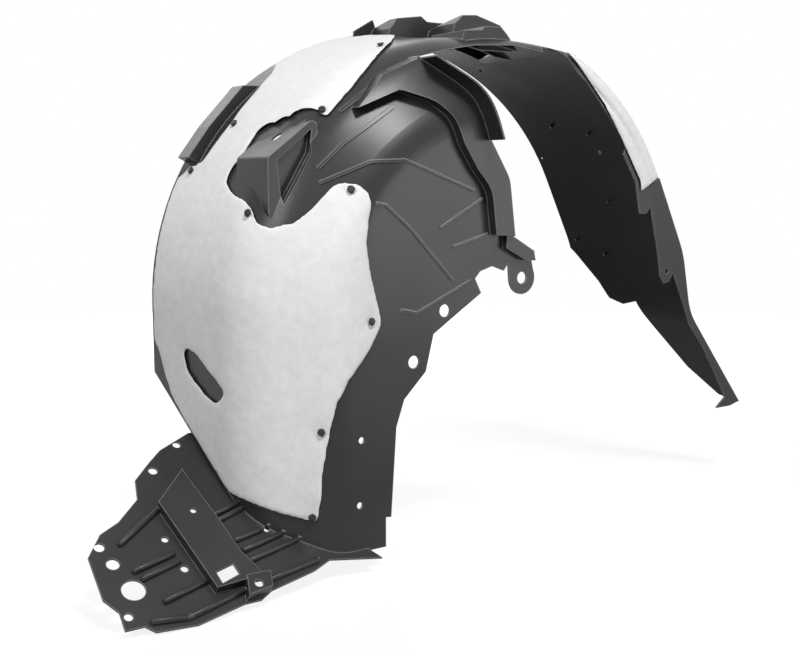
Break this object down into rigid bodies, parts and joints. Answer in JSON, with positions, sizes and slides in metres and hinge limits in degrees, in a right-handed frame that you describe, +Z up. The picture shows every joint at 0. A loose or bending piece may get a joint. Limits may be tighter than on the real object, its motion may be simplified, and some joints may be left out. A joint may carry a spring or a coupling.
{
  "type": "wheel arch liner",
  "caption": "Moulded plastic wheel arch liner with an arched shell, inner side wall with a raised opening border, sloping undertray and riveted felt sheets.",
  "frame": {"origin": "centre of the ear's fixing hole, on its inboard face", "axes": "+X rearward along the car, +Y outboard along the hole's axis, +Z up as fitted"},
  "size_m": [1.0868, 0.3293, 0.7189],
  "materials": {
    "shell": "satin black polypropylene",
    "felt": "needle-punched off-white felt",
    "rivet": "black nylon"
  },
  "bodies": {
    "root": {"liner_shell": "shell", "front_felt": "felt", "rear_felt": "felt", "front_felt_rivets": "rivet", "rear_felt_rivets": "rivet"}
  },
  "joints": []
}
